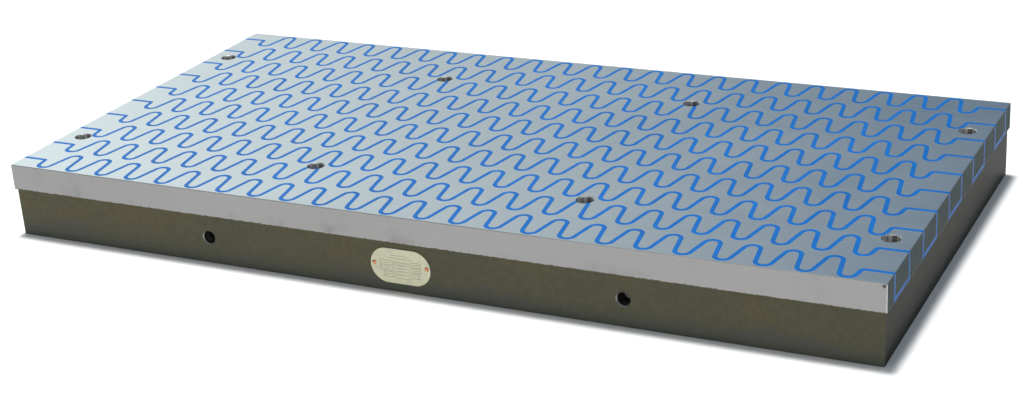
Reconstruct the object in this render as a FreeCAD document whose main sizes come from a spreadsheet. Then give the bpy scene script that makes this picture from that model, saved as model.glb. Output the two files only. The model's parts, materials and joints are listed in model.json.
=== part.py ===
import FreeCAD, Part
import math
import os

import Sketcher
from FreeCAD import Placement, Rotation, Vector

# Rectangular electromagnetic chuck with a wave-pole face.
# Frame: +X along the length, +Y across the width towards the back, +Z up.
# The origin is the centre of the ground underside of the base.

doc = FreeCAD.newDocument("magnetic_chuck")

# ---------------------------------------------------------------- driving dimensions, mm
DIMS = [
    # face plate
    ("plate_len", 1000, "length of the work face"),
    ("plate_wid", 500, "width of the work face"),
    ("plate_thk", 29, "thickness of the face plate"),
    ("plate_chamfer", 0.6, "broken edge round the face plate"),
    # wave-shaped gaps
    ("row_pitch", 100, "pitch of the inner pole bars across the width"),
    ("wave_period", 40, "period of the wave along the length"),
    ("wave_amp", 20.4, "amplitude of a gap's centre line"),
    ("wave_bend", 7.87, "radius of a gap's centre line at each crest"),
    ("gap_wid", 4.8, "width of a gap"),
    ("tail_x", 470, "where the straight tail meets the first flank"),
    ("tail_bend", 3, "radius of that corner on the centre line"),
    ("bed_thk", 4.6, "resin under an inner pole bar"),
    # housing
    ("base_len", 996, "length of the base"),
    ("base_wid", 496, "width of the base"),
    ("base_hgt", 56, "height of the base"),
    ("base_chamfer", 1, "broken lower and corner edges of the base"),
    ("pocket_len", 892, "coil pocket length"),
    ("pocket_wid", 52, "coil pocket width"),
    ("pocket_rad", 18, "coil pocket corner radius"),
    ("floor_thk", 14, "floor under the coil pockets"),
    # cores and coils
    ("core_len", 862, "pole core length"),
    ("core_wid", 26, "pole core width"),
    ("core_rad", 4, "pole core corner radius"),
    ("relief_half", 18, "half width of the relief under the outer-pole bulges"),
    ("relief_len", 872, "length of that relief"),
    ("relief_hgt", 9.4, "height of that relief"),
    ("former_gap", 0.2, "core to former"),
    ("former_wall", 1.4, "former wall"),
    ("flange_thk", 1.4, "former flange"),
    ("coil_build", 10, "winding thickness"),
    ("coil_hgt", 32.6, "winding height"),
    # bolts up from the underside
    ("screw_rad", 3.985, "M8 shank and thread"),
    ("screw_clear", 4.5, "clearance hole radius"),
    ("screw_head", 6.5, "cap head radius"),
    ("screw_head_hgt", 8, "cap head height"),
    ("screw_bore", 7.25, "head bore radius"),
    ("screw_seat", 9, "depth of the head seat"),
    ("screw_len", 65, "length under the head"),
    ("tapped_rad", 4, "tapped hole over the thread"),
    ("tapped_top", 76.6, "top of the tapped holes"),
    # through-bolt holes for the machine table
    ("mount_rad", 5.5, "clearance for M10"),
    ("mount_bore", 9, "head bore radius"),
    ("mount_seat", 40, "height of the head seat above the underside"),
    ("mount_chamfer", 0.9, "chamfer at the face"),
    ("mount_out_x", 476, "outer holes from the centre"),
    ("mount_in_x", 160, "inner holes from the centre"),
    ("mount_row", 150, "rows of holes from the centre"),
    # lifting holes
    ("lift_rad", 7, "tapping radius for M16"),
    ("lift_depth", 17.5, "depth to the end of the wall"),
    ("lift_tip", 2.55, "drill point beyond it"),
    ("lift_x", 241, "from the centre"),
    ("lift_up", 30, "height above the underside"),
    # name plate
    ("label_len", 69.5, "length over the round ends"),
    ("label_hgt", 38.5, "height"),
    ("label_thk", 0.8, "thickness"),
    ("label_x", -5, "centre along the length"),
    ("label_up", 29.5, "centre above the underside"),
    ("rivet_x", 30.5, "rivets from the label's centre"),
    ("rivet_up", 31, "rivets above the underside"),
    # terminal chamber in the left end
    ("chamber_wid", 104, "width"),
    ("chamber_hgt", 36, "height"),
    ("chamber_low", 10, "floor above the underside"),
    ("chamber_end", -462, "inner wall"),
    ("seat_wid", 128, "cover seat width"),
    ("seat_hgt", 48, "cover seat height"),
    ("seat_low", 4, "cover seat above the underside"),
    ("seat_depth", 6, "cover seat depth"),
    ("cover_thk", 6, "cover plate"),
    ("gasket_thk", 1, "gasket"),
    # inlet and its cap
    ("flange_x", -499, "outer face of the cover"),
    ("inlet_flange", 4, "inlet flange thickness"),
    ("shroud_len", 28, "shroud length in front of the flange"),
    ("shroud_wid", 54, "shroud width"),
    ("shroud_hgt", 28, "shroud height"),
    ("shroud_low", 14, "shroud above the underside"),
    ("shroud_wall", 2.5, "shroud wall"),
    ("insert_wid", 44, "contact insert width"),
    ("insert_hgt", 22, "contact insert height"),
    ("hinge_x", -532, "hinge axis along the length"),
    ("hinge_up", 46, "hinge axis above the underside"),
    ("hinge_pin_rad", 2, "hinge pin"),
    ("hinge_run", 0.05, "running clearance in the cap's knuckles"),
    ("barrel_rad", 3.5, "hinge barrel"),
]
sheet = doc.addObject("Spreadsheet::Sheet", "dims")
for row, (alias, value, note) in enumerate(DIMS, start=1):
    sheet.set("A%d" % row, alias)
    sheet.set("B%d" % row, str(value))
    sheet.set("C%d" % row, note)
    sheet.setAlias("B%d" % row, alias)
doc.recompute()


def dim(name):
    return float(getattr(sheet, name))


# ---------------------------------------------------------------- helpers
def bind(obj, prop, value):
    """A number is set as it is, and words are an expression of the sheet's cells."""
    if isinstance(value, str):
        obj.setExpression(prop, value)
    else:
        path = prop.split(".")
        if len(path) == 1:
            setattr(obj, prop, value)
        else:
            obj.setExpression(prop, repr(float(value)))


def place(obj, x=0, y=0, z=0, rot=None):
    if rot is not None:
        obj.Placement = Placement(Vector(0, 0, 0), rot)
    for axis, value in (("x", x), ("y", y), ("z", z)):
        bind(obj, "Placement.Base." + axis, value)
    return obj


def box(name, length, width, height, x, y, z):
    """A box centred on x and y, standing on z."""
    obj = doc.addObject("Part::Box", name)
    for prop, value in (("Length", length), ("Width", width), ("Height", height)):
        bind(obj, prop, value)
    half = lambda centre, size: "(%s) - (%s) / 2" % (centre, size)
    return place(obj, half(x, length), half(y, width), z)


ALONG = {
    "z": Rotation(),
    "x": Rotation(Vector(0, 1, 0), 90),
    "-x": Rotation(Vector(0, 1, 0), -90),
    "y": Rotation(Vector(1, 0, 0), -90),
    "-y": Rotation(Vector(1, 0, 0), 90),
}


def cylinder(name, radius, height, x=0, y=0, z=0, along="z"):
    obj = doc.addObject("Part::Cylinder", name)
    bind(obj, "Radius", radius)
    bind(obj, "Height", height)
    return place(obj, x, y, z, ALONG[along])


def cone(name, low, high, height, x=0, y=0, z=0, along="z"):
    obj = doc.addObject("Part::Cone", name)
    for prop, value in (("Radius1", low), ("Radius2", high), ("Height", height)):
        bind(obj, prop, value)
    return place(obj, x, y, z, ALONG[along])


def hexagon(name, across_flats, height, x=0, y=0, z=0, along="z"):
    obj = doc.addObject("Part::Prism", name)
    obj.Polygon = 6
    obj.Circumradius = across_flats / 2 / math.cos(math.pi / 6)
    obj.Height = height
    return place(obj, x, y, z, ALONG[along])


def ball(name, radius, x, y, z):
    obj = doc.addObject("Part::Sphere", name)
    bind(obj, "Radius", radius)
    return place(obj, x, y, z)


def fuse(name, shapes):
    obj = doc.addObject("Part::MultiFuse", name)
    obj.Shapes = shapes
    return obj


def cut(name, base, tool):
    obj = doc.addObject("Part::Cut", name)
    obj.Base = base
    obj.Tool = tool
    return obj


def common(name, base, tool):
    obj = doc.addObject("Part::Common", name)
    obj.Base = base
    obj.Tool = tool
    return obj


def group(name, shapes):
    """Separate solids kept together, with nothing shared between them."""
    obj = doc.addObject("Part::Compound", name)
    obj.Links = shapes
    return obj


def copy_of(name, source, x, y, z=0):
    obj = doc.addObject("App::Link", name)
    obj.LinkedObject = source
    obj.LinkTransform = True
    obj.Placement = Placement(Vector(x, y, z), Rotation())
    return obj


def copies(name, source, places):
    return group(
        name, [copy_of("%s_%d" % (name, i), source, *p) for i, p in enumerate(places)]
    )


def rounded(name, base, radius, along="z"):
    """Rounds the four edges of a box that run along one axis."""
    doc.recompute()
    direction = {"x": Vector(1, 0, 0), "y": Vector(0, 1, 0), "z": Vector(0, 0, 1)}[along]
    picked = []
    for i, edge in enumerate(base.Shape.Edges, start=1):
        run = edge.Vertexes[-1].Point - edge.Vertexes[0].Point
        if abs(abs(run.normalize() * direction) - 1) < 1e-6:
            picked.append((i, radius, radius))
    obj = doc.addObject("Part::Fillet", name)
    obj.Base = base
    obj.Edges = picked
    return obj


def chamfered(name, base, size, wanted):
    doc.recompute()
    picked = []
    for i, edge in enumerate(base.Shape.Edges, start=1):
        ends = [v.Point for v in edge.Vertexes]
        if wanted(ends[0], ends[-1]):
            picked.append((i, size, size))
    obj = doc.addObject("Part::Chamfer", name)
    obj.Base = base
    obj.Edges = picked
    return obj


def origin_plane(body, role):
    return next(f for f in body.Origin.OriginFeatures if f.Role == role)


def sketch_on(body, name, role, offset=None):
    sketch = body.newObject("Sketcher::SketchObject", name)
    sketch.AttachmentSupport = [(origin_plane(body, role), "")]
    sketch.MapMode = "FlatFace"
    if offset is not None:
        sketch.setExpression("AttachmentOffset.Base.z", offset)
    return sketch


def sketch_rectangle(sketch, width, height):
    """A rectangle centred on the sketch's origin, its sides bound to the sheet."""
    a, b = 10.0, 5.0
    corners = [(-a, -b), (a, -b), (a, b), (-a, b)]
    for i in range(4):
        p, q = corners[i], corners[(i + 1) % 4]
        sketch.addGeometry(Part.LineSegment(Vector(*p, 0), Vector(*q, 0)), False)
    for i in range(4):
        sketch.addConstraint(Sketcher.Constraint("Coincident", i, 2, (i + 1) % 4, 1))
    for i, kind in enumerate(("Horizontal", "Vertical", "Horizontal", "Vertical")):
        sketch.addConstraint(Sketcher.Constraint(kind, i))
    sketch.addConstraint(Sketcher.Constraint("Symmetric", 0, 1, 1, 2, -1, 1))
    w = sketch.addConstraint(Sketcher.Constraint("DistanceX", 0, 1, 0, 2, 2 * a))
    h = sketch.addConstraint(Sketcher.Constraint("DistanceY", 1, 1, 1, 2, 2 * b))
    sketch.setExpression("Constraints[%d]" % w, width)
    sketch.setExpression("Constraints[%d]" % h, height)


def sketch_circles(sketch, centres, radius):
    for x, y in centres:
        g = sketch.addGeometry(
            Part.Circle(Vector(x, y, 0), Vector(0, 0, 1), 3.0), False
        )
        c = sketch.addConstraint(Sketcher.Constraint("Radius", g, 3.0))
        sketch.setExpression("Constraints[%d]" % c, radius)


def pad(body, sketch, name, length, reverse=False):
    obj = body.newObject("PartDesign::Pad", name)
    obj.Profile = sketch
    obj.Reversed = reverse
    bind(obj, "Length", length)
    doc.recompute()
    return obj


def pocket(body, sketch, name, depth=None, reverse=False):
    before = body.Shape.Volume
    obj = body.newObject("PartDesign::Pocket", name)
    obj.Profile = sketch
    obj.Reversed = reverse
    if depth is None:
        obj.Type = "ThroughAll"
    else:
        bind(obj, "Length", depth)
    doc.recompute()
    if not body.Shape.Volume < before - 1e-3:
        raise SystemExit("%s cuts nothing" % name)
    return obj


NODES = []


def node(obj, name):
    obj.Label = name
    NODES.append((name, obj))
    return obj


# ---------------------------------------------------------------- layout
HALF = dim("plate_len") / 2
ROWS = [dim("row_pitch") * (i - 2) for i in range(5)]  # inner pole bars, front to back
WEBS = [dim("row_pitch") * (i - 1.5) for i in range(4)]  # outer-pole webs between them
SIDE = dim("row_pitch") / 4  # a gap line's distance from the middle of its bar
GAP = dim("gap_wid") / 2
PERIOD = dim("wave_period")

MOUNTS = [
    (sx * x, sy * dim("mount_row"))
    for x in (dim("mount_out_x"), dim("mount_in_x"))
    for sx in (-1, 1)
    for sy in (-1, 1)
]
POLE_SCREWS = [(x, row) for row in ROWS for x in (-390, -130, 130, 390)]
WEB_SCREWS = [
    (x, web + side)
    for web in WEBS
    for x, side in ((-400, 12), (-220, -12), (0, 12), (220, -12), (400, 12))
]
EDGE_Y = 237.5
EDGE_SCREWS_FRONT = [(x, -EDGE_Y) for x in (-440, -320, -200, -80, 80, 200, 320, 440)]
EDGE_SCREWS_BACK = [(x, EDGE_Y) for x in (-420, -300, -180, -60, 60, 180, 300, 420)]

# ---------------------------------------------------------------- the wave
def gap_vertices(y):
    """The gap's centre line as straight runs, with a bend radius at each turn."""
    q, r = PERIOD / 4, dim("wave_bend")
    drop = dim("wave_amp") - r
    lean = math.acos(r / math.hypot(q, drop)) - math.atan2(drop, q)
    reach = q / math.tan(lean)
    tail = dim("tail_x")
    turns = [(-HALF, y, 0.0), (-tail, y, dim("tail_bend"))]
    count = int(round(2 * (tail - q) / (PERIOD / 2))) + 1
    for i in range(count):
        x = -tail + q + i * PERIOD / 2
        turns.append((x, y - reach if i % 2 == 0 else y + reach, r))
    turns += [(tail, y, dim("tail_bend")), (HALF, y, 0.0)]
    return turns


def gap_side(y, off):
    """Edges, from -X to +X, of the line that runs off to the +Y side of a gap's centre line."""
    turns = gap_vertices(y)
    stops, edges = [], []
    for i in range(1, len(turns) - 1):
        a, p, b = (Vector(t[0], t[1], 0) for t in turns[i - 1 : i + 2])
        r = turns[i][2]
        u, v = (p - a).normalize(), (b - p).normalize()
        left = 1.0 if u.cross(v).z > 0 else -1.0
        half = math.acos(max(-1, min(1, u.dot(v)))) / 2
        t1, t2 = p - u * (r * math.tan(half)), p + v * (r * math.tan(half))
        normal = Vector(-u.y, u.x, 0) * left
        centre = t1 + normal * r
        k = (r - left * off) / r
        middle = (v - u).normalize() * -1
        stops.append(
            (centre + (t1 - centre) * k, centre + middle * (r * k), centre + (t2 - centre) * k)
        )
    first = Vector(-HALF, y + off, 0)
    last = Vector(HALF, y + off, 0)
    here = first
    for t1, mid, t2 in stops:
        edges.append(Part.LineSegment(here, t1).toShape())
        edges.append(Part.Arc(t1, mid, t2).toShape())
        here = t2
    edges.append(Part.LineSegment(here, last).toShape())
    return edges, first, last


def straight_side(y):
    a, b = Vector(-HALF, y, 0), Vector(HALF, y, 0)
    return [Part.LineSegment(a, b).toShape()], a, b


def between(name, lower, upper, z, height):
    """A solid between two long sides, from z up."""
    (low, a, b), (high, d, c) = lower, upper
    edges = (
        low
        + [Part.LineSegment(b, c).toShape()]
        + list(reversed(high))
        + [Part.LineSegment(d, a).toShape()]
    )
    outline = doc.addObject("Part::Feature", name + "_outline")
    outline.Shape = Part.Face(Part.Wire(edges))
    solid = doc.addObject("Part::Extrusion", name + "_blank")
    solid.Base = outline
    solid.DirMode = "Custom"
    solid.Dir = Vector(0, 0, 1)
    solid.Solid = True
    bind(solid, "LengthFwd", height)
    place(outline, 0, 0, z)
    return solid


# ---------------------------------------------------------------- shared cutters
mount_face_cutter = fuse(
    "mount_face_cutter",
    [
        cylinder("mount_face_bore", "dims.mount_bore", "dims.plate_thk + 2", 0, 0, "dims.base_hgt - 1"),
        cone(
            "mount_face_edge",
            "dims.mount_bore",
            "dims.mount_bore + dims.mount_chamfer + 1",
            "dims.mount_chamfer + 1",
            0,
            0,
            "dims.base_hgt + dims.plate_thk - dims.mount_chamfer",
        ),
    ],
)
mount_base_cutter = fuse(
    "mount_base_cutter",
    [
        cylinder("mount_base_hole", "dims.mount_rad", "dims.mount_seat + 2", 0, 0, -1),
        cylinder("mount_base_bore", "dims.mount_bore", "dims.base_hgt - dims.mount_seat + 1", 0, 0, "dims.mount_seat"),
    ],
)
screw_base_cutter = fuse(
    "screw_base_cutter",
    [
        cylinder("screw_head_bore", "dims.screw_bore", "dims.screw_seat + 1", 0, 0, -1),
        cylinder("screw_clear_bore", "dims.screw_clear", "dims.base_hgt", 0, 0, 1),
    ],
)
tapped_cutter = cylinder("tapped_cutter", "dims.tapped_rad", "dims.tapped_top - dims.base_hgt + 1", 0, 0, "dims.base_hgt - 1")


def relief(name, row):
    return box(name, "dims.relief_len", "2 * dims.relief_half", "dims.relief_hgt + 1", 0.0, float(row), "dims.base_hgt - 1")


# the whole plate's outline with its broken edges: every plate piece is trimmed to it
plate_block = box("plate_block", "dims.plate_len", "dims.plate_wid", "dims.plate_thk", 0.0, 0.0, "dims.base_hgt")
plate_trim = chamfered(
    "plate_trim",
    plate_block,
    dim("plate_chamfer"),
    lambda a, b: abs(a.z - b.z) > 1 or (a.z > dim("base_hgt") + 1 and b.z > dim("base_hgt") + 1),
)

# ---------------------------------------------------------------- base housing
base_body = doc.addObject("PartDesign::Body", "base_block")
base_sketch = sketch_on(base_body, "base_outline", "XY_Plane")
sketch_rectangle(base_sketch, "dims.base_len", "dims.base_wid")
base_pad = pad(base_body, base_sketch, "base_pad", "dims.base_hgt")
edges = []
for i, edge in enumerate(base_pad.Shape.Edges, start=1):
    a, b = edge.Vertexes[0].Point, edge.Vertexes[-1].Point
    if abs(a.z - b.z) > 1 or (a.z < 1 and b.z < 1):
        edges.append("Edge%d" % i)
base_break = base_body.newObject("PartDesign::Chamfer", "base_break")
base_break.Base = (base_pad, edges)
bind(base_break, "Size", "dims.base_chamfer")
doc.recompute()
pocket_body = doc.addObject("PartDesign::Body", "coil_pocket")
pocket_sketch = sketch_on(pocket_body, "coil_pocket_outline", "XY_Plane", "dims.floor_thk")
sketch_rectangle(pocket_sketch, "dims.pocket_len", "dims.pocket_wid")
pocket_pad = pad(pocket_body, pocket_sketch, "coil_pocket_pad", "dims.base_hgt")
uprights = [
    "Edge%d" % i
    for i, e in enumerate(pocket_pad.Shape.Edges, start=1)
    if abs(e.Vertexes[0].Point.z - e.Vertexes[-1].Point.z) > 1
]
pocket_round = pocket_body.newObject("PartDesign::Fillet", "coil_pocket_round")
pocket_round.Base = (pocket_pad, uprights)
bind(pocket_round, "Radius", "dims.pocket_rad")
doc.recompute()

lift_cutter = fuse(
    "lift_cutter",
    [
        cylinder("lift_hole", "dims.lift_rad", "dims.lift_depth + 1", 0, "-dims.base_wid / 2 - 1", "dims.lift_up", "y"),
        cone("lift_edge", "dims.lift_rad + 2.2", "dims.lift_rad", 2.2, 0, "-dims.base_wid / 2 - 1", "dims.lift_up", "y"),
        cone("lift_point", "dims.lift_rad", 0, "dims.lift_tip", 0, "-dims.base_wid / 2 + dims.lift_depth", "dims.lift_up", "y"),
    ],
)
lift_cutter_back = fuse(
    "lift_cutter_back",
    [
        cylinder("lift_hole_back", "dims.lift_rad", "dims.lift_depth + 1", 0, "dims.base_wid / 2 + 1", "dims.lift_up", "-y"),
        cone("lift_edge_back", "dims.lift_rad + 2.2", "dims.lift_rad", 2.2, 0, "dims.base_wid / 2 + 1", "dims.lift_up", "-y"),
        cone("lift_point_back", "dims.lift_rad", 0, "dims.lift_tip", 0, "dims.base_wid / 2 - dims.lift_depth", "dims.lift_up", "-y"),
    ],
)
LIFT = dim("lift_x")
END = -dim("base_len") / 2
chamber = rounded(
    "chamber",
    box(
        "chamber_block",
        "dims.base_len / 2 + dims.chamber_end + 1",
        "dims.chamber_wid",
        "dims.chamber_hgt",
        "(dims.chamber_end - dims.base_len / 2 - 1) / 2",
        0.0,
        "dims.chamber_low",
    ),
    5.0,
    "x",
)
seat = rounded(
    "seat",
    box(
        "seat_block",
        "dims.seat_depth + 1",
        "dims.seat_wid",
        "dims.seat_hgt",
        "-dims.base_len / 2 + (dims.seat_depth - 1) / 2",
        0.0,
        "dims.seat_low",
    ),
    4.5,
    "x",
)
COVER_SCREWS = [(sy * 58.0, 28.0 + sz * 16.0) for sy in (-1, 1) for sz in (-1, 1)]
wire_run = [
    box("cross_groove", 8.0, "4 * dims.row_pitch", 9.0, -440.0, 0.0, 48.0),
    box("supply_groove", 36.0, 12.0, 9.0, -458.0, 0.0, 48.0),
    box("supply_shaft", 12.0, 12.0, 9.0, -470.0, 0.0, 40.0),
]
earth_bore = cylinder("earth_bore", 2.5, 13.0, -463.0, 40.0, 28.0, "x")
cover_bores = [
    cylinder("cover_bore_%d" % i, 2.5, 15.0, -493.0, y, z, "x")
    for i, (y, z) in enumerate(COVER_SCREWS)
]
RIVETS = [(dim("label_x") + s * dim("rivet_x"), dim("rivet_up")) for s in (-1, 1)]
rivet_bores = [
    cylinder("rivet_bore_%d" % i, 1.25, 7.0, x, "-dims.base_wid / 2 - 1", z, "y")
    for i, (x, z) in enumerate(RIVETS)
]
chamber_cut = fuse("chamber_cut", [chamber, seat] + wire_run + [earth_bore] + cover_bores)
pocket_cut = copies("pocket_cut", pocket_body, [(0, row) for row in ROWS])
hollow = cut("base_hollow", base_body, pocket_cut)
ported = cut("base_ported", hollow, chamber_cut)
drilled = cut(
    "base_drilled",
    ported,
    group(
        "base_bores",
        [
            copies("base_mounts", mount_base_cutter, MOUNTS),
            copies(
                "base_screws",
                screw_base_cutter,
                POLE_SCREWS + WEB_SCREWS + EDGE_SCREWS_FRONT + EDGE_SCREWS_BACK,
            ),
        ],
    ),
)
base = cut(
    "base_housing",
    drilled,
    group(
        "side_bores",
        [
            copies("lift_front", lift_cutter, [(-LIFT, 0), (LIFT, 0)]),
            copies("lift_back", lift_cutter_back, [(-LIFT, 0), (LIFT, 0)]),
        ]
        + rivet_bores,
    ),
)
node(base, "base_housing")

# ---------------------------------------------------------------- pole cores, formers and coils
core_bodies = []
for n, row in enumerate(ROWS, start=1):
    body = doc.addObject("PartDesign::Body", "pole_core_%d" % n)
    outline = sketch_on(body, "core_outline_%d" % n, "XY_Plane", "dims.floor_thk")
    sketch_rectangle(outline, "dims.core_len", "dims.core_wid")
    blank = pad(body, outline, "core_pad_%d" % n, "dims.base_hgt + dims.bed_thk - dims.floor_thk")
    uprights = [
        "Edge%d" % i
        for i, e in enumerate(blank.Shape.Edges, start=1)
        if abs(e.Vertexes[0].Point.z - e.Vertexes[-1].Point.z) > 1
    ]
    soft = body.newObject("PartDesign::Fillet", "core_round_%d" % n)
    soft.Base = (blank, uprights)
    bind(soft, "Radius", "dims.core_rad")
    doc.recompute()
    holes = sketch_on(body, "core_holes_%d" % n, "XY_Plane", "dims.floor_thk")
    sketch_circles(holes, [(x, 0) for x, y in POLE_SCREWS[:4]], "dims.screw_clear")
    pocket(body, holes, "core_bore_%d" % n, reverse=True)
    place(body, 0, float(row), 0)
    core_bodies.append(node(body, "pole_core_%d" % n))


def racetrack(name, grow_in, grow_out, row, z, height):
    """A ring round a core: the core's outline grown inside and outside."""
    size = lambda g: ("dims.core_len + 2 * (%s)" % g, "dims.core_wid + 2 * (%s)" % g)
    rings = []
    for part, g, lift, extra in (("outer", grow_out, "0", "0"), ("inner", grow_in, "-1", "2")):
        blank = box(
            "%s_%s_block" % (name, part),
            *size(g),
            "(%s) + %s" % (height, extra),
            0.0,
            float(row),
            "(%s) + %s" % (z, lift),
        )
        doc.recompute()
        radius = dim("core_rad") + (blank.Width.Value - dim("core_wid")) / 2
        rings.append(rounded("%s_%s" % (name, part), blank, radius))
    return cut(name, *rings)


IN_G = "dims.former_gap"
WALL_G = "dims.former_gap + dims.former_wall"
COIL_G = "dims.former_gap + dims.former_wall + dims.coil_build"
FLANGE_G = "dims.former_gap + dims.former_wall + dims.coil_build + 0.5"
for n, row in enumerate(ROWS, start=1):
    low = "dims.floor_thk"
    tube = racetrack(
        "former_tube_%d" % n, IN_G, WALL_G, row, low + " + dims.flange_thk", "dims.coil_hgt"
    )
    foot = racetrack("former_foot_%d" % n, IN_G, FLANGE_G, row, low, "dims.flange_thk")
    head = racetrack(
        "former_head_%d" % n,
        IN_G,
        FLANGE_G,
        row,
        low + " + dims.flange_thk + dims.coil_hgt",
        "dims.flange_thk",
    )
    node(fuse("coil_former_%d" % n, [tube, foot, head]), "coil_former_%d" % n)
    node(
        racetrack("coil_%d" % n, WALL_G, COIL_G, row, low + " + dims.flange_thk", "dims.coil_hgt"),
        "coil_%d" % n,
    )

# ---------------------------------------------------------------- face plate
TOP = "dims.base_hgt"
for n, row in enumerate(ROWS, start=1):
    lower, upper = row - SIDE, row + SIDE
    near = [(x, y) for x, y in MOUNTS if abs(x) < 400 and abs(y - row) < 55 and y > row]
    tapped = [p for p in POLE_SCREWS if p[1] == row]

    bar_blank = between(
        "bar_%d" % n, gap_side(lower, GAP), gap_side(upper, -GAP), "dims.base_hgt + dims.bed_thk", "dims.plate_thk - dims.bed_thk"
    )
    bar_tools = [copies("bar_tapped_%d" % n, tapped_cutter, tapped)]
    if near:
        bar_tools.append(copies("bar_mounts_%d" % n, mount_face_cutter, near))
    bar = cut(
        "pole_bar_%d" % n,
        common("bar_trim_%d" % n, bar_blank, plate_trim),
        group("bar_tools_%d" % n, bar_tools),
    )
    node(bar, "pole_bar_%d" % n)

    bed_blank = between("bed_%d" % n, gap_side(lower, -GAP), gap_side(upper, GAP), TOP, "dims.plate_thk")
    bed_relief = box(
        "bed_relief_%d" % n, "dims.relief_len", "2 * dims.relief_half", "dims.relief_hgt", 0.0, float(row), TOP
    )
    bed = fuse("bed_whole_%d" % n, [bed_blank, bed_relief])
    bed = cut("bed_channel_%d" % n, bed, bar_blank)
    bed = common("bed_trim_%d" % n, bed, plate_trim)
    core_window = rounded(
        "core_window_%d" % n,
        box("core_window_block_%d" % n, "dims.core_len", "dims.core_wid", "dims.bed_thk + 2", 0.0, float(row), TOP + " - 1"),
        dim("core_rad"),
    )
    bed_tools = [core_window]
    if near:
        bed_tools.append(copies("bed_mounts_%d" % n, mount_face_cutter, near))
    node(cut("gap_resin_%d" % n, bed, group("bed_tools_%d" % n, bed_tools)), "gap_resin_%d" % n)

for n, web in enumerate(WEBS, start=1):
    blank = between("web_%d" % n, gap_side(web - SIDE, GAP), gap_side(web + SIDE, -GAP), TOP, "dims.plate_thk")
    tools = [
        relief("web_relief_%d_a" % n, web - 2 * SIDE),
        relief("web_relief_%d_b" % n, web + 2 * SIDE),
        copies("web_tapped_%d" % n, tapped_cutter, [p for p in WEB_SCREWS if abs(p[1] - web) < 20]),
    ]
    here = [p for p in MOUNTS if abs(p[1] - web) < 1]
    if here:
        tools.append(copies("web_mounts_%d" % n, mount_face_cutter, here))
    node(
        cut("web_strip_%d" % n, common("web_trim_%d" % n, blank, plate_trim), group("web_tools_%d" % n, tools)),
        "web_strip_%d" % n,
    )

edge_y = dim("plate_wid") / 2
for name, lower, upper, row, screws in (
    ("front", straight_side(-edge_y), gap_side(ROWS[0] - SIDE, -GAP), ROWS[0], EDGE_SCREWS_FRONT),
    ("back", gap_side(ROWS[4] + SIDE, GAP), straight_side(edge_y), ROWS[4], EDGE_SCREWS_BACK),
):
    blank = between("edge_" + name, lower, upper, TOP, "dims.plate_thk")
    tools = group(
        "edge_tools_" + name,
        [relief("edge_relief_" + name, row), copies("edge_tapped_" + name, tapped_cutter, screws)],
    )
    node(
        cut("edge_strip_" + name, common("edge_trim_" + name, blank, plate_trim), tools),
        "edge_strip_" + name,
    )

# ---------------------------------------------------------------- screws from the underside
screw_whole = fuse(
    "screw_whole",
    [
        cylinder("screw_head_round", "dims.screw_head", "dims.screw_head_hgt", 0, 0, "dims.screw_seat - dims.screw_head_hgt"),
        cylinder("screw_shank", "dims.screw_rad", "dims.screw_len", 0, 0, "dims.screw_seat"),
    ],
)
cap_screw = cut("cap_screw", screw_whole, hexagon("screw_socket", 6.0, 4.5, 0, 0, 0.5))
node(copies("pole_screws", cap_screw, POLE_SCREWS), "pole_screws")
node(copies("web_screws", cap_screw, WEB_SCREWS), "web_screws")
node(copies("edge_screws", cap_screw, EDGE_SCREWS_FRONT + EDGE_SCREWS_BACK), "edge_screws")

# ---------------------------------------------------------------- name plate and rivets
label = doc.addObject("PartDesign::Body", "name_plate")
outline = sketch_on(label, "name_plate_outline", "XZ_Plane")
R = dim("label_hgt") / 2
S = dim("label_len") / 2 - R
a0 = outline.addGeometry(
    Part.ArcOfCircle(Part.Circle(Vector(-S, 0, 0), Vector(0, 0, 1), R), math.pi / 2, 3 * math.pi / 2), False
)
a1 = outline.addGeometry(
    Part.ArcOfCircle(Part.Circle(Vector(S, 0, 0), Vector(0, 0, 1), R), -math.pi / 2, math.pi / 2), False
)
l0 = outline.addGeometry(Part.LineSegment(Vector(-S, -R, 0), Vector(S, -R, 0)), False)
l1 = outline.addGeometry(Part.LineSegment(Vector(S, R, 0), Vector(-S, R, 0)), False)
outline.addConstraint(Sketcher.Constraint("Tangent", a0, 2, l0, 1))
outline.addConstraint(Sketcher.Constraint("Tangent", l0, 2, a1, 1))
outline.addConstraint(Sketcher.Constraint("Tangent", a1, 2, l1, 1))
outline.addConstraint(Sketcher.Constraint("Tangent", l1, 2, a0, 1))
outline.addConstraint(Sketcher.Constraint("Horizontal", l0))
outline.addConstraint(Sketcher.Constraint("Symmetric", a0, 3, a1, 3, -1, 1))
rc = outline.addConstraint(Sketcher.Constraint("Radius", a0, R))
outline.setExpression("Constraints[%d]" % rc, "dims.label_hgt / 2")
sc = outline.addConstraint(Sketcher.Constraint("DistanceX", a0, 3, a1, 3, 2 * S))
outline.setExpression("Constraints[%d]" % sc, "dims.label_len - dims.label_hgt")
pad(label, outline, "name_plate_pad", "dims.label_thk")
holes = sketch_on(label, "name_plate_holes", "XZ_Plane")
rise = dim("rivet_up") - dim("label_up")
sketch_circles(holes, [(-dim("rivet_x"), rise), (dim("rivet_x"), rise)], "1.25")
before = label.Shape.Volume
drill = label.newObject("PartDesign::Pocket", "name_plate_bores")
drill.Profile = holes
drill.Type = "ThroughAll"
drill.Midplane = True
doc.recompute()
if not label.Shape.Volume < before - 1:
    raise SystemExit("the label's rivet holes cut nothing")
box_now = label.Shape.BoundBox
# the label lies on the front of the base, its outer face towards -Y
place(label, "dims.label_x", "-dims.base_wid / 2 - (%r)" % box_now.YMax, "dims.label_up")
node(label, "name_plate")

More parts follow.
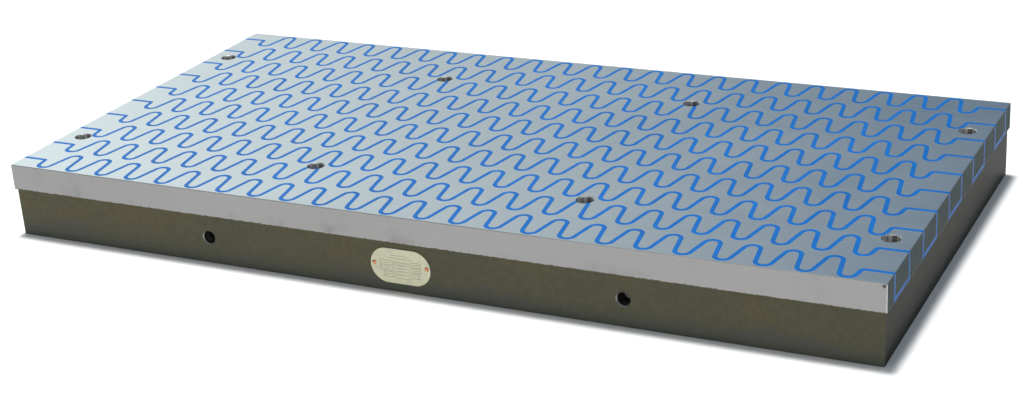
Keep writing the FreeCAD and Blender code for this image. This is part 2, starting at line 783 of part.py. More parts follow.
FACE = "-dims.base_wid / 2 - dims.label_thk"
rivets = []
for i, (x, z) in enumerate(RIVETS):
    shank = cylinder("rivet_shank_%d" % i, 1.25, "5 + dims.label_thk", x, FACE, z, "y")
    # the domed head is a cap of a larger ball, 5 mm across and 1.2 mm high
    head = doc.addObject("Part::Sphere", "rivet_head_%d" % i)
    head.Radius = 3.204
    head.Angle1 = math.degrees(math.asin((3.204 - 1.2) / 3.204))
    head.Angle2 = 90
    place(head, x, FACE + " + 3.204 - 1.2", z, ALONG["-y"])
    rivets.append(fuse("rivet_%d" % i, [shank, head]))
node(group("name_plate_rivets", rivets), "name_plate_rivets")

# ---------------------------------------------------------------- terminal chamber
MID = 28.0
COVER_IN = -493.0
gasket_blank = rounded(
    "gasket_blank", box("gasket_block", "dims.gasket_thk", "dims.seat_wid - 1", "dims.seat_hgt - 1", -492.5, 0.0, 4.5), 4.0, "x"
)
gasket_tools = [
    rounded(
        "gasket_window",
        box("gasket_window_block", 4.0, "dims.chamber_wid", "dims.chamber_hgt", -492.5, 0.0, "dims.chamber_low"),
        5.0,
        "x",
    )
] + [cylinder("gasket_bore_%d" % i, 2.75, 4.0, -494.5, y, z, "x") for i, (y, z) in enumerate(COVER_SCREWS)]
node(cut("cover_gasket", gasket_blank, group("gasket_tools", gasket_tools)), "cover_gasket")

INLET_SCREWS = [(sy * 33.0, MID + sz * 9.0) for sy in (-1, 1) for sz in (-1, 1)]
cover_blank = chamfered(
    "cover_blank",
    rounded(
        "cover_round",
        box("cover_block", "dims.cover_thk", "dims.seat_wid - 1", "dims.seat_hgt - 1", -496.0, 0.0, 4.5),
        4.0,
        "x",
    ),
    0.5,
    lambda a, b: a.x < -498.9 and b.x < -498.9,
)
cover_tools = [box("cover_window", 10.0, "dims.insert_wid", "dims.insert_hgt", -496.0, 0.0, "28 - dims.insert_hgt / 2")]
for i, (y, z) in enumerate(COVER_SCREWS):
    cover_tools.append(
        fuse(
            "cover_sink_%d" % i,
            [
                cylinder("cover_sink_bore_%d" % i, 2.75, 8.0, -500.0, y, z, "x"),
                cone("cover_sink_cone_%d" % i, 5.2, 2.6, 2.6, -499.0, y, z, "x"),
            ],
        )
    )
for i, (y, z) in enumerate(INLET_SCREWS):
    cover_tools.append(cylinder("cover_tap_%d" % i, 2.0, 8.0, -500.0, y, z, "x"))
node(cut("terminal_cover", cover_blank, group("cover_tools", cover_tools)), "terminal_cover")

sink_whole = fuse(
    "sink_screw_whole",
    [
        cone("sink_screw_head", 5.1, 2.5, 2.6, -499.0, 0, 0, "x"),
        cylinder("sink_screw_shank", 2.5, 18.0, -499.0, 0, 0, "x"),
    ],
)
sink_screw = cut("sink_screw", sink_whole, hexagon("sink_screw_socket", 3.0, 3.0, -500.0, 0, 0, "x"))
node(copies("cover_screws", sink_screw, [(0, y, z) for y, z in COVER_SCREWS]), "cover_screws")

# terminal block on the chamber's floor, with barriers between its four ways
block = fuse(
    "block_whole",
    [box("block_body", 17.0, 52.0, 18.0, -472.5, 0.0, 10.0)]
    + [box("block_rib_%d" % i, 9.0, 1.6, 6.0, -476.0, y, 27.0) for i, y in enumerate((-25.2, -13.0, 0.0, 13.0, 25.2))],
)
WAYS = (-19.5, -6.5, 6.5, 19.5)
block_tools = [cylinder("block_tap_%d" % i, 1.5, 9.0, -475.0, y, 20.0) for i, y in enumerate(WAYS)]
node(cut("terminal_block", block, group("block_tools", block_tools)), "terminal_block")
clamp_whole = fuse(
    "clamp_whole",
    [cylinder("clamp_head", 2.5, 2.2, 0, 0, 28.0), cylinder("clamp_shank", 1.5, 8.0, 0, 0, 20.0)],
)
clamp = cut("clamp_screw", clamp_whole, box("clamp_slot", 6.0, 0.8, 1.2, 0.0, 0.0, 29.2))
node(copies("terminal_screws", clamp, [(-475.0, y) for y in WAYS]), "terminal_screws")
earth_whole = fuse(
    "earth_whole",
    [
        cylinder("earth_head", 4.25, 3.0, -465.0, 40.0, MID, "x"),
        cylinder("earth_shank", 2.5, 11.0, -462.0, 40.0, MID, "x"),
    ],
)
node(cut("earth_screw", earth_whole, hexagon("earth_socket", 3.5, 2.0, -466.0, 40.0, MID, "x")), "earth_screw")


def wire(name, radius, points):
    """Straight insulated runs with a ball at each corner."""
    shapes = []
    for i, (p, q) in enumerate(zip(points, points[1:])):
        run = Vector(*q) - Vector(*p)
        tube = doc.addObject("Part::Cylinder", "%s_run_%d" % (name, i))
        tube.Radius = radius
        tube.Height = run.Length
        tube.Placement = Placement(Vector(*p), Rotation(Vector(0, 0, 1), run))
        shapes.append(tube)
        if i:
            shapes.append(ball("%s_bend_%d" % (name, i), radius, *[float(c) for c in p]))
    return fuse(name, shapes) if len(shapes) > 1 else shapes[0]


FLANGE_TOP = dim("floor_thk") + 2 * dim("flange_thk") + dim("coil_hgt")
node(
    group(
        "coil_links",
        [
            wire(
                "link_%d" % n,
                1.5,
                [
                    (-440, a + 20, FLANGE_TOP),
                    (-440, a + 20, 52.5),
                    (-440, b - 20, 52.5),
                    (-440, b - 20, FLANGE_TOP),
                ],
            )
            for n, (a, b) in enumerate(zip(ROWS, ROWS[1:]), start=1)
        ],
    ),
    "coil_links",
)
node(
    group(
        "supply_leads",
        [
            wire("supply_%d" % i, 1.5, [(-467.5, y, 28.0), (-467.5, y, 52.5), (-438, y, 52.5), (-438, y, FLANGE_TOP)])
            for i, y in enumerate((-3.0, 3.0))
        ],
    ),
    "supply_leads",
)

# ---------------------------------------------------------------- power inlet on the cover
FX = dim("flange_x")
SHROUD_X = FX - dim("inlet_flange")
MOUTH_X = SHROUD_X - dim("shroud_len")
LUG_IN, LUG_OUT = 19.0, 27.0
flange = rounded("inlet_flange_plate", box("inlet_flange_block", 4.0, 76.0, 30.0, FX - 2.0, 0.0, 13.0), 4.0, "x")
shroud = rounded(
    "shroud_outer",
    box("shroud_block", "dims.shroud_len + 1", "dims.shroud_wid", "dims.shroud_hgt", (SHROUD_X + MOUTH_X + 1) / 2, 0.0, "dims.shroud_low"),
    3.0,
    "x",
)
lugs = []
for i, s in enumerate((-1, 1)):
    lugs.append(cylinder("lug_barrel_%d" % i, "dims.barrel_rad", LUG_OUT - LUG_IN, "dims.hinge_x", LUG_IN if s > 0 else -LUG_OUT, "dims.hinge_up", "y"))
    lugs.append(box("lug_foot_%d" % i, 6.0, LUG_OUT - LUG_IN, 5.5, -528.0, s * (LUG_IN + LUG_OUT) / 2, 40.5))
inlet_whole = fuse("inlet_whole", [flange, shroud] + lugs)
shroud_hollow = rounded(
    "shroud_hollow",
    box(
        "shroud_hollow_block",
        "dims.shroud_len + 1",
        "dims.shroud_wid - 2 * dims.shroud_wall",
        "dims.shroud_hgt - 2 * dims.shroud_wall",
        SHROUD_X - (dim("shroud_len") + 1) / 2,
        0.0,
        "dims.shroud_low + dims.shroud_wall",
    ),
    1.5,
    "x",
)
inlet_tools = fuse(
    "inlet_tools",
    [
        shroud_hollow,
        box("inlet_window", 8.0, "dims.insert_wid", "dims.insert_hgt", FX - 2.0, 0.0, "28 - dims.insert_hgt / 2"),
        cylinder("inlet_pin_bore", "dims.hinge_pin_rad", 60.0, "dims.hinge_x", -30.0, "dims.hinge_up", "y"),
    ]
    + [cylinder("inlet_bore_%d" % i, 2.0, 8.0, FX - 6.0, y, z, "x") for i, (y, z) in enumerate(INLET_SCREWS)],
)
node(cut("inlet_housing", inlet_whole, inlet_tools), "inlet_housing")

insert_blank = box("insert_body", 24.0, "dims.insert_wid", "dims.insert_hgt", -501.0, 0.0, "28 - dims.insert_hgt / 2")
CONTACTS = [(sy * 8.0, MID + sz * 5.0) for sy in (-1, 1) for sz in (-1, 1)]
insert_tools = [cylinder("insert_bore_%d" % i, 1.5, 30.0, -515.0, y, z, "x") for i, (y, z) in enumerate(CONTACTS)]
node(cut("inlet_insert", insert_blank, group("insert_tools", insert_tools)), "inlet_insert")
contact = fuse(
    "contact_pin",
    [cylinder("contact_shank", 1.5, 37.0, -522.0, 0, 0, "x"), ball("contact_nose", 1.5, -522.0, 0.0, 0.0)],
)
node(copies("inlet_contacts", contact, [(0, y, z) for y, z in CONTACTS]), "inlet_contacts")

leads = []
for i, (y, z) in enumerate(CONTACTS):
    if z > MID:
        leads.append(wire("inlet_lead_%d" % i, 1.2, [(-485, y, z), (-480, y, z), (-480, y, 28.0)]))
    else:
        leads.append(wire("inlet_lead_%d" % i, 1.2, [(-485, y, z), (-481, y, z)]))
node(group("inlet_leads", leads), "inlet_leads")

pan_whole = fuse(
    "pan_screw_whole",
    [
        cylinder("pan_head", 3.5, 2.5, FX - 6.5, 0, 0, "x"),
        cylinder("pan_shank", 2.0, 10.0, FX - 4.0, 0, 0, "x"),
    ],
)
pan_screw = cut("pan_screw", pan_whole, hexagon("pan_socket", 2.5, 1.6, FX - 7.0, 0, 0, "x"))
node(copies("inlet_screws", pan_screw, [(0, y, z) for y, z in INLET_SCREWS]), "inlet_screws")

# ---------------------------------------------------------------- hinged cap
HX, HZ = dim("hinge_x"), dim("hinge_up")
cap_plate = chamfered(
    "cap_plate",
    rounded("cap_round", box("cap_block", 4.0, 56.0, 29.7, HX - 2.0, 0.0, 12.0), 3.0, "x"),
    0.8,
    lambda a, b: a.x < HX - 3.9 and b.x < HX - 3.9,
)
knuckles = []
for i, s in enumerate((-1, 1)):
    knuckles.append(cylinder("knuckle_%d" % i, "dims.barrel_rad", 8.7, HX, 10.0 if s > 0 else -18.7, HZ, "y"))
    knuckles.append(box("knuckle_web_%d" % i, 3.5, 8.7, 7.0, HX - 1.75, s * 14.35, 39.0))
lip = box("cap_lip", 4.0, 18.0, 3.0, HX - 5.0, 0.0, 12.6)
cap_whole = fuse("cap_whole", [cap_plate, lip] + knuckles)
cap_bore = cylinder("cap_bore", "dims.hinge_pin_rad + dims.hinge_run", 60.0, HX, -30.0, HZ, "y")
node(cut("inlet_cap", cap_whole, cap_bore), "inlet_cap")

seal_tools = rounded("seal_window", box("seal_window_block", 4.0, 49.0, 23.0, HX + 0.5, 0.0, 16.5), 1.5, "x")
seal_blank = rounded("seal_blank", box("seal_block", 0.9, 53.6, 27.3, HX + 0.45, 0.0, 14.2), 2.8, "x")
node(cut("cap_seal", seal_blank, seal_tools), "cap_seal")

node(cylinder("cap_hinge_pin", "dims.hinge_pin_rad", 56.0, HX, -28.0, HZ, "y"), "cap_hinge_pin")

# torsion spring: a coil round the pin between the cap's knuckles, and one leg on the shroud
turns, pitch, mean, wire_rad = 8.5, 1.4, 2.85, 0.4
helix = Part.makeHelix(pitch, pitch * turns, mean)
# laid along +Y and turned so that its first end is straight under the pin
helix.Placement = Placement(Vector(HX, -pitch * turns / 2, HZ), Rotation(Vector(1, 0, 0), -90) * Rotation(Vector(0, 0, 1), 90))
path = helix.Edges[0]
start, aim = path.valueAt(path.FirstParameter), path.tangentAt(path.FirstParameter)
ring = Part.Wire([Part.Circle(start, aim, wire_rad).toShape()])
coil = Part.Wire([path]).makePipeShell([ring], True, True)
leg = Part.makeCylinder(wire_rad, 12.0, start, aim * -1)
spring = doc.addObject("Part::Feature", "cap_spring")
spring.Shape = coil.fuse(leg)
node(spring, "cap_spring")

# ---------------------------------------------------------------- checks and files
doc.recompute()
for obj in doc.Objects:
    if "Invalid" in obj.State or "Error" in obj.State:
        raise SystemExit("%s failed: %s" % (obj.Name, obj.State))
os.makedirs("parts", exist_ok=True)
total = FreeCAD.BoundBox()
for name, obj in NODES:
    shape = obj.Shape
    if shape.isNull() or not shape.isValid():
        raise SystemExit("%s has no valid shape" % name)
    if not shape.Solids:
        raise SystemExit("%s has no solid" % name)
    total.add(shape.BoundBox)
    shape.exportStep(os.path.join("parts", name + ".step"))
    print("%-20s solids %2d  volume %12.1f mm3" % (name, len(shape.Solids), shape.Volume))
print("nodes", len(NODES), "box", total)
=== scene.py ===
"""Finish, light and view of the electromagnetic chuck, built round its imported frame."""

import json
import math
import random

import bmesh
import bpy
from mathutils import Matrix, Vector

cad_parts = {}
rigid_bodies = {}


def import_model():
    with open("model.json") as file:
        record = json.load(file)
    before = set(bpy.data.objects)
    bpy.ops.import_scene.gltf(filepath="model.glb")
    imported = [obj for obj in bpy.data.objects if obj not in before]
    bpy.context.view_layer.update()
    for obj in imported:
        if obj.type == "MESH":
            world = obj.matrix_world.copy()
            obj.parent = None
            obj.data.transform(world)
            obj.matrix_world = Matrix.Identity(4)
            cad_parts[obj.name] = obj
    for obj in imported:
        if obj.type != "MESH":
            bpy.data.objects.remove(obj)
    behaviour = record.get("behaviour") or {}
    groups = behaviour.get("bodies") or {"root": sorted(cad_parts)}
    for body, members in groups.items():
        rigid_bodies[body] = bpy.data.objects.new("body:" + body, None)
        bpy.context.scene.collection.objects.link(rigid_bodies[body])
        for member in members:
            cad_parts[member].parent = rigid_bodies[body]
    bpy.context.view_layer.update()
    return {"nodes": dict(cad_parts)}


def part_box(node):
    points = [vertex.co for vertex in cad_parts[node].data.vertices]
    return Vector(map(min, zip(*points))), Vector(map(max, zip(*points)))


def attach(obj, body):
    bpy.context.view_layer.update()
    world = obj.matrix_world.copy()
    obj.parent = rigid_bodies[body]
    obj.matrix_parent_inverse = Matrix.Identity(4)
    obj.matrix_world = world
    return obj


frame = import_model()
NODES = frame["nodes"]
random.seed(7)

scene = bpy.context.scene
for thing in list(scene.collection.all_objects):
    if thing.type in ("LIGHT", "CAMERA"):
        bpy.data.objects.remove(thing)


# ---------------------------------------------------------------- node helpers
class Look:
    """One procedural material and the few node patterns that the finishes are made of."""

    def __init__(self, name):
        self.mat = bpy.data.materials.new(name)
        self.mat.use_nodes = True
        self.tree = self.mat.node_tree
        self.tree.nodes.clear()
        self.out = self.tree.nodes.new("ShaderNodeOutputMaterial")
        self.shader = self.tree.nodes.new("ShaderNodeBsdfPrincipled")
        self.tree.links.new(self.shader.outputs[0], self.out.inputs[0])
        self._place = self._normal = None

    def put(self, socket, value):
        """A number or colour goes on the socket itself; a node's output is linked."""
        if isinstance(value, bpy.types.NodeSocket):
            self.tree.links.new(value, socket)
        elif value is not None:
            if isinstance(value, (tuple, list)) and len(value) == 3 and socket.type == "RGBA":
                value = (*value, 1.0)
            socket.default_value = value

    def set(self, **values):
        for name, value in values.items():
            self.put(self.shader.inputs[name.replace("_", " ")], value)
        return self

    def node(self, kind, outputs=0, props=(), **values):
        n = self.tree.nodes.new("ShaderNode" + kind)
        for key, value in dict(props).items():
            setattr(n, key, value)
        for key, value in values.items():
            self.put(n.inputs[key.replace("_", " ")], value)
        return n.outputs[outputs]

    @property
    def place(self):
        if self._place is None:
            self._place = self.node("TexCoord", "Object")
        return self._place

    @property
    def normal(self):
        if self._normal is None:
            self._normal = self.node("NewGeometry", "Normal")
        return self._normal

    def axes(self, vector=None):
        n = self.tree.nodes.new("ShaderNodeSeparateXYZ")
        self.put(n.inputs[0], self.place if vector is None else vector)
        return n.outputs[0], n.outputs[1], n.outputs[2]

    def math(self, op, a, b=None, c=None, clamp=False):
        n = self.tree.nodes.new("ShaderNodeMath")
        n.operation, n.use_clamp = op, clamp
        for i, v in enumerate((a, b, c)):
            if v is not None:
                self.put(n.inputs[i], v)
        return n.outputs[0]

    def add(self, a, b):
        return self.math("ADD", a, b)

    def less(self, a, b):
        return self.math("SUBTRACT", a, b)

    def times(self, a, b):
        return self.math("MULTIPLY", a, b)

    def most(self, a, b):
        return self.math("MAXIMUM", a, b)

    def least(self, a, b):
        return self.math("MINIMUM", a, b)

    def size(self, a):
        return self.math("ABSOLUTE", a)

    def step(self, value, low, high, a=0.0, b=1.0, smooth=True):
        """value run from low..high to a..b, held at both ends."""
        n = self.tree.nodes.new("ShaderNodeMapRange")
        n.interpolation_type = "SMOOTHSTEP" if smooth else "LINEAR"
        for i, v in enumerate((value, low, high, a, b)):
            self.put(n.inputs[i], v)
        return n.outputs[0]

    def stretch(self, scale, turn=(0, 0, 0), shift=(0, 0, 0), vector=None):
        n = self.tree.nodes.new("ShaderNodeMapping")
        self.put(n.inputs["Vector"], self.place if vector is None else vector)
        n.inputs["Location"].default_value = shift
        n.inputs["Rotation"].default_value = turn
        n.inputs["Scale"].default_value = scale
        return n.outputs[0]

    def noise(self, scale, detail=3.0, rough=0.5, vector=None, distort=0.0):
        n = self.tree.nodes.new("ShaderNodeTexNoise")
        self.put(n.inputs["Vector"], self.place if vector is None else vector)
        n.inputs["Scale"].default_value = scale
        n.inputs["Detail"].default_value = detail
        n.inputs["Roughness"].default_value = rough
        n.inputs["Distortion"].default_value = distort
        return n.outputs[0]

    def cells(self, scale, vector=None, feature="F1", out=0):
        n = self.tree.nodes.new("ShaderNodeTexVoronoi")
        n.feature = feature
        self.put(n.inputs["Vector"], self.place if vector is None else vector)
        n.inputs["Scale"].default_value = scale
        return n.outputs[out]

    def mix(self, factor, a, b, how="MIX"):
        n = self.tree.nodes.new("ShaderNodeMix")
        n.data_type, n.blend_type, n.clamp_factor = "RGBA", how, True
        self.put(n.inputs[0], factor)
        self.put(n.inputs[6], a)
        self.put(n.inputs[7], b)
        return n.outputs[2]

    def blend(self, factor, a, b):
        n = self.tree.nodes.new("ShaderNodeMix")
        n.data_type, n.clamp_factor = "FLOAT", True
        self.put(n.inputs[0], factor)
        self.put(n.inputs[2], a)
        self.put(n.inputs[3], b)
        return n.outputs[0]

    def shade(self, colour, value):
        """A colour made lighter or darker by a number."""
        n = self.tree.nodes.new("ShaderNodeVectorMath")
        n.operation = "SCALE"
        self.put(n.inputs[0], colour[:3] if isinstance(colour, tuple) else colour)
        self.put(n.inputs["Scale"], value)
        return n.outputs[0]

    def bump(self, height, distance, strength=1.0, under=None):
        n = self.tree.nodes.new("ShaderNodeBump")
        n.inputs["Strength"].default_value = strength
        n.inputs["Distance"].default_value = distance
        self.put(n.inputs["Height"], height)
        if under is not None:
            self.put(n.inputs["Normal"], under)
        return n.outputs[0]

    def ring(self, centres, a=0, b=1):
        """Distance across axes a and b to the nearest of the centres, which axis a mirrors, in metres."""
        parts = self.axes()
        nearest = None
        for u0, v0 in centres:
            u = self.less(self.size(parts[a]), u0)
            v = self.less(self.size(parts[b]) if b == 1 else parts[b], v0)
            d = self.math("SQRT", self.add(self.times(u, u), self.times(v, v)))
            nearest = d if nearest is None else self.least(nearest, d)
        return nearest


def wear(*names, look):
    for name in names:
        mesh = NODES[name].data
        mesh.materials.clear()
        mesh.materials.append(look.mat)


# ---------------------------------------------------------------- calibrated tones
MM = 0.001
TOP_STEEL = (0.56, 0.57, 0.58, 1)
# the side and end tones are set darker than the top tone: painted shade on the plate's sides and ends
SIDE_STEEL_PAINTED_SHADE = (0.312, 0.306, 0.305, 1)
END_STEEL_PAINTED_SHADE = (0.120, 0.140, 0.140, 1)
RESIN = (0.004, 0.112, 0.395, 1)
PAINT = (0.094, 0.083, 0.046, 1)
PAINT_COOL = (0.080, 0.078, 0.050, 1)
# a darker, cooler tone for the bottom of the housing walls: painted shade
PAINT_FOOT_PAINTED_SHADE = (0.062, 0.070, 0.074, 1)
LABEL = (0.58, 0.57, 0.39, 1)
LABEL_GREY = (0.49, 0.49, 0.36, 1)

# ---------------------------------------------------------------- finishes
# ground pole plate: fine longitudinal lay on top, milled sides with handling marks, sawn ends; the sides and ends take
# darker tones as painted shade
steel = Look("ground_steel")
nx, ny, nz = steel.axes(steel.normal)
px, py, pz = steel.axes()
upward = steel.step(nz, 0.86, 0.97)
# the end faces take a darker colour and a dulled reflection tint: painted shade
end_face_painted_shade = steel.step(steel.size(nx), 0.8, 0.95)
lay = steel.noise(1.0, 3.0, 0.6, steel.stretch((5.0, 1500.0, 30.0)))
broad_lay = steel.noise(1.0, 2.0, 0.5, steel.stretch((1.6, 210.0, 20.0)))
cloud = steel.noise(7.0, 4.0, 0.55)
stain = steel.noise(26.0, 5.0, 0.6, distort=0.4)
side_lay = steel.noise(1.0, 3.0, 0.6, steel.stretch((14.0, 14.0, 1300.0)))
end_lay = steel.noise(1.0, 3.0, 0.6, steel.stretch((40.0, 700.0, 55.0)))

top_tone = steel.add(steel.step(lay, 0.3, 0.7, 0.982, 1.018), steel.step(broad_lay, 0.3, 0.7, -0.014, 0.014))
top_tone = steel.add(top_tone, steel.step(cloud, 0.3, 0.7, -0.020, 0.020))
top_colour = steel.shade(TOP_STEEL, top_tone)

low = steel.step(pz, 0.058, 0.074, 1.0, 0.25)
smudge = steel.times(steel.step(stain, 0.5, 0.72), low)
side_tone_and_painted_highlight = steel.add(steel.step(side_lay, 0.3, 0.7, 0.97, 1.03), steel.step(cloud, 0.3, 0.7, -0.02, 0.02))
side_tone_and_painted_highlight = steel.less(side_tone_and_painted_highlight, steel.times(smudge, 0.13))
# a painted highlight along the bottom edge of the plate sides
side_tone_and_painted_highlight = steel.add(side_tone_and_painted_highlight, steel.step(pz, 0.0562, 0.0575, 0.14, 0.0))
side_colour_painted_shade = steel.shade(SIDE_STEEL_PAINTED_SHADE, side_tone_and_painted_highlight)
end_tone = steel.add(steel.step(end_lay, 0.3, 0.7, 0.9, 1.1), steel.step(stain, 0.35, 0.7, 0.05, -0.12))
end_colour_painted_shade = steel.shade(END_STEEL_PAINTED_SHADE, end_tone)

# the vertical arrises get a painted highlight; the machined hole walls get painted reflection bands over tool marks
arris_painted_highlight = steel.step(steel.least(steel.size(nx), steel.size(ny)), 0.35, 0.6)
near = steel.ring(((0.160, 0.150), (0.476, 0.150)))
bore = steel.times(steel.step(near, 0.0098, 0.0102, 1.0, 0.0), steel.step(nz, 0.3, 0.6, 1.0, 0.0))
tool = steel.noise(1.0, 2.0, 0.5, steel.stretch((60.0, 60.0, 2600.0)))
# the bore walls get bright and dark bands set by their normal: a painted reflection, mixed with tool marks
bore_painted_reflection_band = steel.step(steel.noise(2.6, 2.0, 0.5, steel.stretch((1.0, 1.0, 0.2), vector=steel.normal)), 0.40, 0.60)
bore_painted_reflection_colour = steel.mix(steel.add(steel.times(bore_painted_reflection_band, 0.75), steel.times(tool, 0.25)), (0.12, 0.115, 0.10, 1), (0.92, 0.91, 0.88, 1))

colour = steel.mix(end_face_painted_shade, side_colour_painted_shade, end_colour_painted_shade)
colour = steel.mix(steel.times(arris_painted_highlight, 0.8), colour, (0.66, 0.66, 0.66, 1))
colour = steel.mix(upward, colour, top_colour)
colour = steel.mix(bore, colour, bore_painted_reflection_colour)

# paint from the housing runs a little over the joint line
ragged = steel.noise(1.0, 4.0, 0.65, steel.stretch((260.0, 260.0, 30.0)))
over = steel.step(ragged, 0.35, 0.75, 0.0562, 0.0573)
over = steel.step(steel.less(over, pz), -0.00012, 0.00012)
over = steel.times(over, steel.step(steel.add(steel.size(nx), steel.size(ny)), 0.5, 0.8))
colour = steel.mix(over, colour, PAINT)

# one knock on the front right corner
kx, ky, kz = steel.less(px, 0.4972), steel.add(py, 0.2500), steel.less(pz, 0.0829)
knock = steel.math("SQRT", steel.add(steel.add(steel.times(kx, kx), steel.times(ky, ky)), steel.times(kz, kz)))
knock = steel.add(knock, steel.step(steel.noise(900.0, 3.0, 0.6), 0.3, 0.7, -0.0007, 0.0007))
knock = steel.step(knock, 0.0012, 0.0023, 1.0, 0.0)
colour = steel.mix(steel.times(knock, 0.88), colour, (0.03, 0.035, 0.035, 1))

rough = steel.add(steel.step(lay, 0.3, 0.7, 0.285, 0.335), steel.step(cloud, 0.3, 0.7, -0.02, 0.02))
rough = steel.blend(upward, steel.add(steel.step(side_lay, 0.3, 0.7, 0.40, 0.47), steel.times(smudge, 0.08)), rough)
rough = steel.blend(bore, rough, steel.step(tool, 0.3, 0.7, 0.30, 0.42))
rough = steel.blend(over, rough, 0.5)
fine = steel.blend(upward, steel.blend(end_face_painted_shade, side_lay, end_lay), lay)
fine = steel.blend(bore, fine, tool)
steel.set(
    Base_Color=colour,
    Specular_Tint=steel.mix(end_face_painted_shade, (1.0, 1.0, 1.0, 1), (0.35, 0.35, 0.35, 1)),
    Metallic=steel.less(1.0, steel.most(steel.most(over, steel.times(knock, 0.5)), steel.times(bore, 0.8))),
    Roughness=rough,
    Normal=steel.bump(steel.less(fine, steel.times(knock, 3.0)), 0.000012),
)

# cast blue epoxy, ground flush with the plate
resin = Look("blue_epoxy")
mottle = resin.noise(60.0, 5.0, 0.6)
patchy = resin.noise(9.0, 3.0, 0.5)
pit = resin.step(resin.cells(420.0), 0.06, 0.12, 1.0, 0.0)
pit = resin.times(pit, resin.step(resin.noise(170.0, 2.0, 0.5), 0.60, 0.68))
tone = resin.add(resin.step(mottle, 0.3, 0.7, 0.92, 1.08), resin.step(patchy, 0.3, 0.7, -0.06, 0.06))
blue = resin.mix(resin.times(pit, 0.6), resin.shade(RESIN, tone), (0.10, 0.22, 0.42, 1))
resin_lay = resin.noise(1.0, 3.0, 0.6, resin.stretch((5.0, 1500.0, 30.0)))
resin.set(
    Base_Color=blue,
    Roughness=resin.add(resin.step(resin_lay, 0.3, 0.7, 0.40, 0.48), resin.step(mottle, 0.3, 0.7, -0.03, 0.03)),
    Specular_IOR_Level=0.10,
    # the end faces get a dark reflection tint: painted shade
    Specular_Tint=resin.mix(resin.step(resin.size(resin.axes(resin.normal)[0]), 0.8, 0.95), (1.0, 1.0, 1.0, 1), (0.05, 0.05, 0.05, 1)),
    Normal=resin.bump(resin.less(resin_lay, resin.times(pit, 2.0)), 0.000012),
)

# olive-grey machine enamel over a cast housing, bare where it is machined
paint = Look("machine_paint")
nx, ny, nz = paint.axes(paint.normal)
px, py, pz = paint.axes()
peel = paint.noise(620.0, 3.0, 0.55)
skin = paint.noise(150.0, 4.0, 0.6)
drift = paint.noise(11.0, 4.0, 0.55, distort=0.5)
speck = paint.step(paint.cells(900.0), 0.10, 0.22, 1.0, 0.0)
speck = paint.times(speck, paint.step(paint.noise(210.0, 2.0, 0.5), 0.52, 0.62))
tone = paint.add(paint.step(skin, 0.3, 0.7, 0.93, 1.07), paint.step(peel, 0.3, 0.7, -0.05, 0.05))
body = paint.mix(paint.step(drift, 0.36, 0.66), PAINT, PAINT_COOL)
body = paint.shade(body, tone)
body = paint.mix(paint.times(speck, 0.35), body, (0.19, 0.18, 0.15, 1))
# the housing walls darken towards the floor: painted shade
foot_painted_shade = paint.add(pz, paint.step(drift, 0.3, 0.7, -0.010, 0.010))
foot_painted_shade = paint.times(paint.step(foot_painted_shade, 0.004, 0.030, 1.0, 0.0), paint.step(paint.size(nz), 0.3, 0.7, 1.0, 0.0))
body = paint.mix(paint.times(foot_painted_shade, 0.6), body, PAINT_FOOT_PAINTED_SHADE)

# the end faces are darkened: painted shade
body = paint.shade(body, paint.step(paint.size(nx), 0.8, 0.95, 1.0, 0.20))

hole = paint.ring(((0.241, 0.030),), 0, 2)
bare = paint.step(paint.add(hole, paint.step(skin, 0.3, 0.7, -0.0003, 0.0003)), 0.0081, 0.0085, 1.0, 0.0)
bare = paint.times(bare, paint.step(paint.size(ny), 0.97, 0.9995, 1.0, 0.0))
under = paint.step(nz, -0.9, -0.7, 1.0, 0.0)
seat = paint.times(paint.step(nz, 0.7, 0.9), paint.step(pz, 0.0553, 0.0556))
milled = paint.most(under, seat)
metal_part = paint.most(bare, milled)
mill = paint.noise(1.0, 3.0, 0.6, paint.stretch((6.0, 700.0, 40.0)))
body = paint.mix(milled, body, paint.mix(mill, (0.20, 0.205, 0.205, 1), (0.32, 0.32, 0.31, 1)))
# inside the lifting holes the bare metal is darker past the mouth: painted shade in the hole
mouth = paint.mix(paint.step(paint.size(py), 0.2445, 0.2478), (0.09, 0.09, 0.085, 1), (0.26, 0.26, 0.25, 1))
body = paint.mix(bare, body, mouth)
relief = paint.blend(milled, paint.add(peel, paint.times(skin, 1.6)), paint.times(mill, 0.4))
paint.set(
    Base_Color=body,
    Metallic=metal_part,
    Roughness=paint.blend(metal_part, paint.add(paint.step(peel, 0.3, 0.7, 0.46, 0.56), paint.times(speck, 0.1)), 0.38),
    Specular_IOR_Level=0.12,
    # a dark reflection tint on the end faces: painted shade
    Specular_Tint=paint.mix(paint.step(paint.size(nx), 0.8, 0.95), (1.0, 1.0, 1.0, 1), (0.07, 0.10, 0.07, 1)),
    Normal=paint.bump(relief, 0.00007),
)


def metal(name, dark, light, rough, scale=(60.0, 60.0, 60.0), relief=0.00001, spot=None):
    """A plain metal: two tones along its lay, roughness that follows them, a few darker spots."""
    look = Look(name)
    grain = look.noise(1.0, 4.0, 0.6, look.stretch(scale))
    age = look.noise(90.0, 4.0, 0.6)
    colour = look.mix(look.step(grain, 0.3, 0.7), dark, light)
    if spot is not None:
        colour = look.mix(look.step(age, 0.52, 0.7, 0.0, 0.7), colour, spot)
    look.set(
        Base_Color=colour,
        Metallic=1.0,
        Roughness=look.add(look.step(grain, 0.3, 0.7, rough - 0.05, rough + 0.05), look.step(age, 0.4, 0.7, 0.0, 0.08)),
        Normal=look.bump(grain, relief),
    )
    return look


